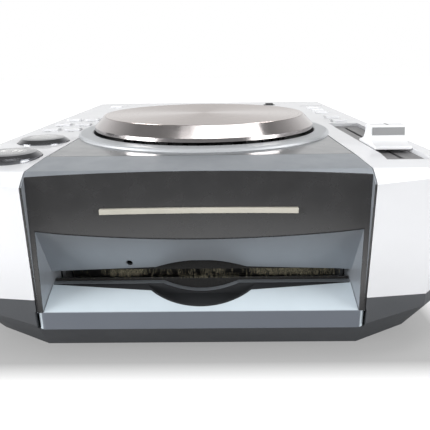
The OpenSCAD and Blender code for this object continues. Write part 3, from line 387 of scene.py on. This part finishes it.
def make_control_materials():
    c, m = colours(), MATERIALS
    m["ring_plastic"] = moulded("Ring paint", c.ring_grey, 0.42, grain=2200, relief=0.001,
                                bump=0.05, metal=0.2, mottle=0.015, wear=0.02)
    m["dial_metal"] = moulded("Dial chrome", c.dial_chrome, 0.17, grain=1800, relief=0.001,
                              bump=0.05, metal=1.0, mottle=0.04, wear=0.04)
    m["brushed_plate"] = brushed("Brushed plate", c.plate_warm, 0.28)
    m["key_silver"] = moulded("Key paint", c.key_silver, 0.34, grain=2400, relief=0.005,
                              bump=0.15, metal=0.15, coat=0.25, mottle=0.03)
    m["key_chrome"] = moulded("Round key rim", c.key_rim, 0.14, grain=1800, relief=0.002,
                              bump=0.1, metal=1.0, mottle=0.04, wear=0.04)
    m["key_face"] = moulded("Round key face", c.key_grey, 0.24, grain=1800, relief=0.003,
                            bump=0.1, metal=0.3, coat=0.6)
    m["display_glass"] = smoked("Display acrylic", c.display)
    m["slider_plastic"] = moulded("Slider recess", c.slider_grey, 0.42, grain=1400, relief=0.01)


def make_fitting_materials():
    c, m = colours(), MATERIALS
    m["sheet_steel"] = moulded("Zinc plate", c.steel, 0.35, relief=0.006, bump=0.2, metal=0.9)
    m["brass"] = moulded("Plated brass", c.brass, 0.25, relief=0.004, bump=0.15, metal=1.0)
    m["board"] = moulded("Solder mask", c.board, 0.35, grain=700, relief=0.01, bump=0.2)
    m["grip"] = moulded("Knob grip", c.grip_grey, 0.6, grain=1600, relief=0.01, bump=0.4)
    for finish, name, base in (("print", "Dark print", c.print_grey),
                               ("white_print", "White print", c.print_white)):
        m[finish] = moulded(name, base, 0.5, grain=1600, relief=0.002, bump=0.1)
    for finish, name, base in (("jack_white", "White insulator", c.insulator_white),
                               ("jack_red", "Red insulator", c.insulator_red)):
        m[finish] = moulded(name, base, 0.4, relief=0.006, bump=0.2)
    m["segments"] = moulded("Unlit segments", c.segments, 0.4, relief=0.004, bump=0.1)


# ------------------------------------------------------------------ CAD nodes

# Nodes whose finish differs from the rest of their material slot
FINISHES = {"slot_escutcheon": "escutcheon"}

SMALL_KEYS = ["eject_button", "tempo_range_button", "master_tempo_button", "effect_button_1",
              "effect_button_2", "effect_button_3"]
SMALL_KEYS += [f"{kind}_{way}_button" for kind in ("track", "search", "folder")
               for way in ("back", "forward")]

SOFT_EDGES = {
    "case_edge": ["top_shell", "centre_deck"],
    "key_edge": SMALL_KEYS + ["base_tray", "loading_shelf", "tempo_knob", "power_rocker",
                              "rear_panel", "ac_inlet"],
    "fine_edge": ["front_fascia", "slot_escutcheon", "slider_bezel", "display_window", "light_bar"],
}


def soften(node, width):
    """Rounds a carried-over node's edges with modifiers alone."""
    weld = node.modifiers.new("Join", "WELD")
    weld.merge_threshold = 0.002 * MM
    flat = node.modifiers.new("Flat faces", "DECIMATE")
    flat.decimate_type = "DISSOLVE"
    flat.angle_limit = math.radians(1)
    bevel = node.modifiers.new("Edges", "BEVEL")
    bevel.width = width
    bevel.segments = 2
    bevel.limit_method = "ANGLE"
    bevel.angle_limit = math.radians(24)
    bevel.use_clamp_overlap = True
    normals = node.modifiers.new("Normals", "WEIGHTED_NORMAL")
    normals.keep_sharp = False


class PLAYER_OT_finish_nodes(bpy.types.Operator):
    """Gives every carried-over node its material and soft edges"""
    bl_idname = "player.finish_nodes"
    bl_label = "Finish the mouldings"

    def execute(self, context):
        make_materials()
        for part in frame["record"]["subparts"]:
            node = frame["nodes"][part["node"]]
            node.data.materials.clear()
            node.data.materials.append(MATERIALS[FINISHES.get(part["node"], part["material_slot"])])
        for size, names in SOFT_EDGES.items():
            for name in names:
                soften(frame["nodes"][name], getattr(edges(), size))
        return {"FINISHED"}


# ------------------------------------------------------------------ shapes

def finish_piece(name, mesh_data, material, body):
    """Turns a bmesh into a piece that rides on a body."""
    bmesh.ops.recalc_face_normals(mesh_data, faces=mesh_data.faces)
    mesh = bpy.data.meshes.new(name)
    mesh_data.to_mesh(mesh)
    mesh_data.free()
    piece = bpy.data.objects.new(name, mesh)
    bpy.context.scene.collection.objects.link(piece)
    mesh.materials.append(MATERIALS[material])
    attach(piece, body)
    return piece


def lathe(profile, centre, steps=72, axis=(0, 0, 1), across=(1, 0, 0)):
    """Spins a profile of (radius, height) points round an axis through the centre."""
    data = bmesh.new()
    along, out = Vector(axis), Vector(across)
    points = [data.verts.new(Vector(centre) + out * r + along * h) for r, h in profile]
    chain = [data.edges.new(pair) for pair in zip(points, points[1:])]
    bmesh.ops.spin(data, geom=points + chain, cent=centre, axis=along, angle=math.tau,
                   steps=steps, use_merge=True)
    bmesh.ops.remove_doubles(data, verts=data.verts, dist=0.001 * MM)
    return data


def collar(inner, outer, low, high, chamfer):
    """Profile of a tube with a chamfered outer rim at its high end."""
    return [(inner, low), (outer, low), (outer, high - chamfer), (outer - chamfer, high),
            (inner, high), (inner, low)]


def smooth(piece, angle=35):
    for face in piece.data.polygons:
        face.use_smooth = True
    split = piece.modifiers.new("Sharp edges", "EDGE_SPLIT")
    split.split_angle = math.radians(angle)
    return piece


def add_box(data, low, high):
    """Adds a box between two corners to a bmesh."""
    low, high = Vector(low), Vector(high)
    place = Matrix.Translation((low + high) / 2) @ Matrix.Diagonal((*(high - low), 1))
    return bmesh.ops.create_cube(data, size=1, matrix=place)["verts"]


def add_arrow(data, x, y, low, high, size, turn):
    """Adds a triangle that points along the given turn in the deck's plane."""
    # A three-sided cone's first corner points along +Y
    place = Matrix.Translation((x, y, (low + high) / 2)) @ Matrix.Rotation(turn - math.pi / 2, 4, "Z")
    bmesh.ops.create_cone(data, cap_ends=True, segments=3, radius1=size, radius2=size,
                          depth=high - low, matrix=place)


def lean_on_face(verts, bottom, top, y_bottom, y_top, flip=1):
    """Leans upright shapes on a sloping face that stands at y_bottom and y_top."""
    for vert in verts:
        share = (vert.co.z - bottom) / (top - bottom)
        vert.co.y = vert.co.y * flip + y_bottom + (y_top - y_bottom) * share


# ------------------------------------------------------------------ keys and knob

def dished_cap(middle, top, face):
    """Dished cap of a round key, closed underneath."""
    under = top - 1.2 * MM
    return lathe([(0, top + 0.12 * MM), (face * 0.5, top + 0.06 * MM), (face * 0.9, top - 0.3 * MM),
                  (face, top - 0.42 * MM), (face + 0.25 * MM, top - 0.75 * MM),
                  (face * 0.7, under), (0, under)], middle)


def play_marks(middle, top):
    """Triangle and two bars of the play key."""
    marks = bmesh.new()
    low, high = top - 0.1 * MM, top + 0.16 * MM
    half_wide, half_tall = 0.5 * MM, 1.5 * MM
    add_arrow(marks, middle.x - 3.2 * MM, middle.y, low, high, 1.7 * MM, 0)
    for x in (middle.x + 1.6 * MM, middle.x + 3.9 * MM):
        add_box(marks, (x - half_wide, middle.y - half_tall, low),
                (x + half_wide, middle.y + half_tall, high))
    return marks


class PLAYER_OT_round_keys(bpy.types.Operator):
    """Adds the dished faces of the two round keys and the printed symbol of the play key"""
    bl_idname = "player.round_keys"
    bl_label = "Round key faces"

    def execute(self, context):
        for key in ("play", "cue"):
            node, body = f"{key}_button", f"{key}_button_body"
            low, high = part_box(node)
            # The flange under the case widens the box to both sides and to the rear
            radius = (high.x - low.x) / 2 - trim().key_flange
            middle = Vector(((low.x + high.x) / 2, low.y + radius, 0))
            cap = dished_cap(middle, high.z, radius - trim().key_rim_width)
            smooth(finish_piece(f"{key}_face", cap, "key_face", body))
            if key == "play":
                finish_piece("play_symbol", play_marks(middle, high.z), "white_print", body)
        return {"FINISHED"}


class PLAYER_OT_knob_grip(bpy.types.Operator):
    """Adds the ribbed grey grip bands on both sides of the tempo knob"""
    bl_idname = "player.knob_grip"
    bl_label = "Knob grip"

    def execute(self, context):
        low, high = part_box("tempo_knob")
        middle = (low.y + high.y) / 2
        half = (high.y - low.y) / 2
        left, right = low.x + trim().rib_inset, high.x - trim().rib_inset
        pitch = (right - left) / trim().ribs
        top, bottom = high.z - 1.0 * MM, high.z - 4.4 * MM
        grip = bmesh.new()
        for side in (-1, 1):
            face_top = middle + side * (half * 0.3 + 0.05 * MM)
            face_low = middle + side * (half * 0.36 + 0.05 * MM)
            for rib in range(trim().ribs):
                x = left + rib * pitch
                made = add_box(grip, (x, -0.25 * MM, bottom), (x + pitch * 0.62, 0.25 * MM, top))
                lean_on_face(made, bottom, top, face_low, face_top)
            band = add_box(grip, (left, -0.2 * MM, bottom), (right, 0.1 * MM, top))
            lean_on_face(band, bottom, top, face_low, face_top, flip=-side)
        finish_piece("knob_grip", grip, "grip", "tempo_knob_body")
        line = bmesh.new()
        x = (low.x + high.x) / 2
        add_box(line, (x - 0.35 * MM, middle - half * 0.22, high.z - PRINT_SINK),
                (x + 0.35 * MM, middle + half * 0.22, high.z + PRINT_RISE))
        finish_piece("knob_line", line, "print", "tempo_knob_body")
        return {"FINISHED"}


# ------------------------------------------------------------------ slot, print, sockets, display

class PLAYER_OT_slot_bristles(bpy.types.Operator):
    """Adds the fine bristles on the felt strips inside the slot"""
    bl_idname = "player.slot_bristles"
    bl_label = "Slot bristles"

    def execute(self, context):
        low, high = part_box("slot_felts")
        size = trim()
        draw = random.Random(11)
        hairs = bmesh.new()
        # Each tuft: first and last share of the slot's length, root height, direction, hairs
        tufts = ((0.18, 0.32, size.upper_root, -1, 260), (0.66, 0.97, size.upper_root, -1, 620),
                 (0.0, 1.0, size.upper_root, -1, 110), (0.44, 0.62, size.lower_root, 1, 45),
                 (0.0, 1.0, size.lower_root, 1, 60))
        for first, last, root, way, count in tufts:
            for hair in range(count):
                x = low.x + (high.x - low.x) * draw.triangular(first, last)
                tall = (draw.uniform(0.5, 1.4) + draw.random() * 2.4) * MM
                sideways = Matrix.Rotation(draw.uniform(-0.3, 0.3), 4, "Y")
                forward = Matrix.Rotation(draw.uniform(0.05, 0.4) * way, 4, "X")
                place = (Matrix.Translation((x, low.y + 0.1 * MM, root)) @ sideways @ forward
                         @ Matrix.Translation((0, 0, way * tall / 2)))
                bmesh.ops.create_cone(hairs, cap_ends=True, segments=3, radius1=size.bristle_root,
                                      radius2=size.bristle_tip, depth=tall, matrix=place)
        finish_piece("slot_bristles", hairs, "bristle", CHASSIS)
        return {"FINISHED"}


def deck_bar(marks, x0, y0, x1, y1):
    """Adds a printed bar between two corners on the deck."""
    add_box(marks, (x0, y0, DECK_Z - PRINT_SINK), (x1, y1, DECK_Z + PRINT_RISE))


def deck_arrow(marks, x, y, size, turn):
    """Adds a printed triangle on the deck."""
    add_arrow(marks, x, y, DECK_Z - PRINT_SINK, DECK_Z + PRINT_RISE, size, turn)


def print_seek_marks(marks):
    """Double arrows in front of the search and track keys, with a stop bar for the track keys."""
    for kind in ("search", "track"):
        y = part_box(f"{kind}_back_button")[0].y - 1.6 * MM
        for way, turn, side in (("back", math.pi, -1), ("forward", 0, 1)):
            low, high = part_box(f"{kind}_{way}_button")
            x = (low.x + high.x) / 2 + side * 0.5 * MM
            for shift in (-0.9 * MM, 0.9 * MM):
                deck_arrow(marks, x + shift, y, 1.0 * MM, turn)
            if kind == "track":
                x += side * 2.3 * MM
                deck_bar(marks, x - 0.2 * MM, y - 0.9 * MM, x + 0.2 * MM, y + 0.9 * MM)


def print_eject_mark(marks):
    low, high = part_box("eject_button")
    x, y = (low.x + high.x) / 2, low.y - 3.2 * MM
    deck_arrow(marks, x, y + 0.5 * MM, 1.4 * MM, math.pi / 2)
    deck_bar(marks, x - 1.2 * MM, y - 1.0 * MM, x + 1.2 * MM, y - 0.6 * MM)


def print_folder_marks(marks):
    for way, turn in (("back", math.pi), ("forward", 0)):
        low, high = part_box(f"folder_{way}_button")
        x, y = (low.x + high.x) / 2, low.y - 1.6 * MM
        deck_arrow(marks, x, y, 0.9 * MM, turn)
        deck_bar(marks, x - 3 * MM, y - 0.15 * MM, x + 3 * MM, y + 0.15 * MM)


def print_effect_marks(marks):
    """Bracket over the effect keys, and a short line over each of the two keys in front of them."""
    low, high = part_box("effect_button_3")
    x0, x1 = low.x - 2.4 * MM, high.x + 5.8 * MM
    y = high.y + 13.5 * MM
    deck_bar(marks, x0, y, x1, y + 0.45 * MM)
    for x in (x0, x1):
        deck_bar(marks, x - 0.2 * MM, y - 2.4 * MM, x + 0.2 * MM, y)
    for node in ("tempo_range_button", "master_tempo_button"):
        low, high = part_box(node)
        deck_bar(marks, low.x + 0.6 * MM, high.y + 4.4 * MM, high.x - 1 * MM, high.y + 5.6 * MM)


class PLAYER_OT_deck_print(bpy.types.Operator):
    """Prints the generic arrows and lines beside the keys"""
    bl_idname = "player.deck_print"
    bl_label = "Deck print"

    def execute(self, context):
        marks = bmesh.new()
        print_seek_marks(marks)
        print_eject_mark(marks)
        print_folder_marks(marks)
        print_effect_marks(marks)
        finish_piece("deck_print", marks, "print", CHASSIS)
        return {"FINISHED"}


class PLAYER_OT_rear_trim(bpy.types.Operator):
    """Adds the coloured insulators and the nut on the rear sockets"""
    bl_idname = "player.rear_trim"
    bl_label = "Rear socket trim"

    def execute(self, context):
        low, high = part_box("control_jack")
        panel = high.y - 1.5 * MM
        rearward = {"axis": (0, 1, 0), "across": (1, 0, 0)}
        # The flange's inner and outer rims are both chamfered
        flange = [(4.6 * MM, panel), (6.4 * MM, panel), (6.4 * MM, panel + 0.9 * MM),
                  (6.0 * MM, panel + 1.3 * MM), (5.0 * MM, panel + 1.3 * MM),
                  (4.6 * MM, panel + 1.0 * MM), (4.6 * MM, panel)]
        core = collar(1.6 * MM, 3.2 * MM, panel + 1 * MM, panel + 6.5 * MM, 0.3 * MM)
        for side, material in (("left", "jack_white"), ("right", "jack_red")):
            x, _, z = MOUNT_PLACES[f"{side}_output"]
            for suffix, profile, steps in (("", flange, 48), ("_core", core, 32)):
                turned = lathe(profile, (x, 0, z), steps, **rearward)
                smooth(finish_piece(f"{side}_insulator{suffix}", turned, material, CHASSIS))
        centre = ((low.x + high.x) / 2, panel + 0.6 * MM, (low.z + high.z) / 2)
        nut = lathe(collar(4.05 * MM, 5.2 * MM, -0.6 * MM, 0.8 * MM, 0.3 * MM), centre, 6, **rearward)
        smooth(finish_piece("control_nut", nut, "sheet_steel", CHASSIS), 20)
        return {"FINISHED"}


class PLAYER_OT_display(bpy.types.Operator):
    """Adds the window's inner frame and its unlit segments"""
    bl_idname = "player.display"
    bl_label = "Display"

    def execute(self, context):
        low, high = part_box("display_window")
        under, over = high.z - 0.1 * MM, high.z + 0.02 * MM
        inset, line = 6 * MM, 0.3 * MM
        x0, y0, x1, y1 = low.x + inset, low.y + inset, high.x - inset, high.y - inset
        border = bmesh.new()
        for left, front, right, back in ((x0, y0, x1, y0 + line), (x0, y1 - line, x1, y1),
                                         (x0, y0, x0 + line, y1), (x1 - line, y0, x1, y1)):
            add_box(border, (left, front, under), (right, back, over))
        finish_piece("display_frame", border, "segments", CHASSIS)
        digits = bmesh.new()
        stroke, wide, tall = 0.7 * MM, 4.2 * MM, 7.5 * MM
        y = (low.y + high.y) / 2 - tall / 2
        for place in range(trim().digits):
            x = low.x + 17 * MM + place * trim().digit_pitch
            for level in (0, 0.5, 1):
                add_box(digits, (x + stroke, y + tall * level - stroke / 2, under),
                        (x + wide - stroke, y + tall * level + stroke / 2, over))
            for column in (0, 1):
                left = x + column * (wide - stroke)
                for level in (0, 0.5):
                    add_box(digits, (left, y + tall * level + stroke * 0.7, under),
                            (left + stroke, y + tall * (level + 0.5) - stroke * 0.7, over))
        finish_piece("display_segments", digits, "segments", CHASSIS)
        return {"FINISHED"}


# ------------------------------------------------------------------ studio

class PLAYER_OT_studio(bpy.types.Operator):
    """Makes the camera, floor, backdrop and lights"""
    bl_idname = "player.studio"
    bl_label = "Studio"

    def execute(self, context):
        make_camera()
        make_floor()
        make_lights()
        make_sky()
        bpy.context.scene.view_settings.view_transform = "Standard"
        return {"FINISHED"}


def make_camera():
    s = studio()
    data = bpy.data.cameras.new("Camera")
    data.sensor_width = 36
    data.lens = s.lens
    data.clip_start = 0.01
    camera = bpy.data.objects.new("Camera", data)
    bpy.context.scene.collection.objects.link(camera)
    turn = Matrix.Rotation(s.yaw, 4, "Z") @ Matrix.Rotation(math.pi / 2 - s.pitch, 4, "X")
    camera.matrix_world = (Matrix.Translation(Vector(s.camera_place)) @ turn
                           @ Matrix.Rotation(-s.roll, 4, "Z"))
    bpy.context.scene.camera = camera


def white_floor(name, base):
    """Matt floor that fades to even white away from the player, for the camera and reflections; its
    glow is held low close to the player, painting shadow on top of the real one, and a glowing strip
    that only reflections see is a painted reflection.
    """
    material, tree, shader = new_material(name)
    shader.inputs["Roughness"].default_value = 0.9
    vector = object_coords(tree)
    tree.links.new(shade(tree, noise(tree, vector, 3, 3), base, 0.995, 1.005),
                   shader.inputs["Base Color"])
    for step, operand in (("ABSOLUTE", (0, 0, 0)), ("SUBTRACT", CAD_BOX[1]), ("MAXIMUM", (0, 0, 0))):
        vector = move_vector(tree, step, vector, operand)
    distance = move_vector(tree, "LENGTH", vector)
    # The camera sees the table fade to white, its glow held low close to the player as painted shadow,
    # and the glossy front mirrors a bright strip of painted glow as a painted reflection
    white = spread(tree, distance, 0.15, 1.0, -0.004, 0.016)
    painted_strip_glow = combine(tree, "MULTIPLY", spread(tree, distance, 0, 1.4, 0.06, 0.11),
                    spread(tree, distance, 1, 0.05, 0.16, 0.34))
    # Painted shadow from the camera glow's dip near the player, painted reflection from the strip's
    # glow for glossy rays
    path = tree.nodes.new("ShaderNodeLightPath")
    seen = combine(tree, "MULTIPLY", path.outputs["Is Camera Ray"], white)
    painted_reflection_glow = combine(tree, "MULTIPLY", path.outputs["Is Glossy Ray"], painted_strip_glow)
    shader.inputs["Emission Color"].default_value = WHITE
    tree.links.new(combine(tree, "ADD", seen, painted_reflection_glow), shader.inputs["Emission Strength"])
    return material


def make_floor():
    grid = bmesh.new()
    bmesh.ops.create_grid(grid, x_segments=1, y_segments=1, size=3)
    mesh = bpy.data.meshes.new("Floor")
    grid.to_mesh(mesh)
    grid.free()
    floor = bpy.data.objects.new("Floor", mesh)
    bpy.context.scene.collection.objects.link(floor)
    floor.data.materials.append(white_floor("Floor", studio().floor_grey))


def area_light(name, place, target, size, power):
    data = bpy.data.lights.new(name, "AREA")
    data.shape = "RECTANGLE"
    data.size, data.size_y = size
    data.energy = power
    light = bpy.data.objects.new(name, data)
    bpy.context.scene.collection.objects.link(light)
    light.location = place
    light.rotation_euler = (Vector(target) - Vector(place)).to_track_quat("-Z", "Y").to_euler()


def make_lights():
    s = studio()
    area_light("Soffit", (0.1, -0.31, 1.0), (0, -0.12, 0.03), (1.3, 0.3), s.soffit_power)
    for side, power in ((-1, s.left_power), (1, s.right_power)):
        area_light("Window", (side * 1.35, -0.7, 0.3), (0, -0.1, 0.06), (0.9, 0.5), power)
    # Small lights for the streaks on the dial's bevel, each with its place from side to side and width
    for x, wide in ((-0.24, 0.10), (0.02, 0.08), (0.14, 0.05), (0.26, 0.08)):
        area_light("Tube", (x, -0.32, 0.95), (0, -0.05, 0.09), (wide, 0.16), s.tube_power)


def make_sky():
    """White for the camera; a white wall behind the player and a dim room for everything else."""
    s = studio()
    world = bpy.data.worlds.new("Sky")
    world.use_nodes = True
    bpy.context.scene.world = world
    tree = world.node_tree
    room = tree.nodes["Background"]
    room.inputs["Color"].default_value = WHITE
    coords = tree.nodes.new("ShaderNodeTexCoord")
    split = tree.nodes.new("ShaderNodeSeparateXYZ")
    tree.links.new(coords.outputs["Generated"], split.inputs["Vector"])
    wall = spread(tree, split.outputs["Y"], s.sky_front, s.sky_wall, -0.2, 0.4)
    rise = spread(tree, split.outputs["Z"], 0, 1, 0.35, 0.75)
    blend = tree.nodes.new("ShaderNodeMix")
    tree.links.new(rise, blend.inputs["Factor"])
    tree.links.new(wall, blend.inputs["A"])
    blend.inputs["B"].default_value = s.sky_roof
    tree.links.new(blend.outputs["Result"], room.inputs["Strength"])
    backdrop = tree.nodes.new("ShaderNodeBackground")
    backdrop.inputs["Color"].default_value = WHITE
    mix = tree.nodes.new("ShaderNodeMixShader")
    path = tree.nodes.new("ShaderNodeLightPath")
    tree.links.new(path.outputs["Is Camera Ray"], mix.inputs["Fac"])
    tree.links.new(room.outputs["Background"], mix.inputs[1])
    tree.links.new(backdrop.outputs["Background"], mix.inputs[2])
    tree.links.new(mix.outputs["Shader"], tree.nodes["World Output"].inputs["Surface"])


# ------------------------------------------------------------------ panel and run

OPERATORS = (PLAYER_OT_studio, PLAYER_OT_finish_nodes, PLAYER_OT_round_keys, PLAYER_OT_knob_grip,
             PLAYER_OT_slot_bristles, PLAYER_OT_deck_print, PLAYER_OT_rear_trim, PLAYER_OT_display)
GROUPS = {"player_colours": PlayerColours, "player_edges": PlayerEdges, "player_trim": PlayerTrim,
          "player_studio": StudioSettings}


class PLAYER_PT_tools(bpy.types.Panel):
    """Lists the player's building steps and settings"""
    bl_label = "Disc player"
    bl_idname = "PLAYER_PT_tools"
    bl_space_type = "VIEW_3D"
    bl_region_type = "UI"
    bl_category = "Disc player"

    def draw(self, context):
        for operator in OPERATORS:
            self.layout.operator(operator.bl_idname)
        for name in GROUPS:
            group = getattr(context.scene, name)
            box = self.layout.box()
            for setting in group.__annotations__:
                box.prop(group, setting)


CLASSES = (*GROUPS.values(), *OPERATORS, PLAYER_PT_tools)


def register():
    for item in CLASSES:
        bpy.utils.register_class(item)
    for name, group in GROUPS.items():
        setattr(bpy.types.Scene, name, PointerProperty(type=group))


def unregister():
    for name in GROUPS:
        delattr(bpy.types.Scene, name)
    for item in reversed(CLASSES):
        bpy.utils.unregister_class(item)


def main():
    register()
    for operator in OPERATORS:
        group, name = operator.bl_idname.split(".")
        getattr(getattr(bpy.ops, group), name)()


if __name__ == "__main__":
    main()
